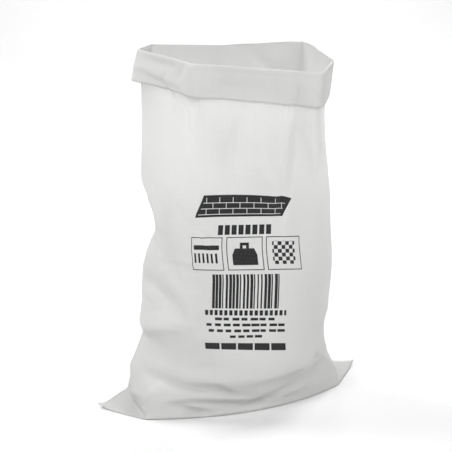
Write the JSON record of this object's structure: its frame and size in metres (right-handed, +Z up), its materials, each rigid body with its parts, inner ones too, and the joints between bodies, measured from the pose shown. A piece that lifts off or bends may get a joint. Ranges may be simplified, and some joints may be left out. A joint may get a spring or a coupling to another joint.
{
  "type": "woven polypropylene sack",
  "caption": "Empty open woven polypropylene sack standing upright, its mouth turned out into a cuff and its bottom sewn shut.",
  "frame": {"origin": "middle of the base on the floor", "axes": "+X along the bottom seam, -Y towards the printed front, +Z up"},
  "size_m": [0.526, 0.4234, 0.6232],
  "materials": {
    "woven_cloth": "white woven plastic tape, semi-matt with a slight sheen",
    "thread": "white twisted sewing thread, matt"
  },
  "bodies": {
    "root": {"sack_body": "woven_cloth", "seam_thread": "thread"}
  },
  "joints": []
}
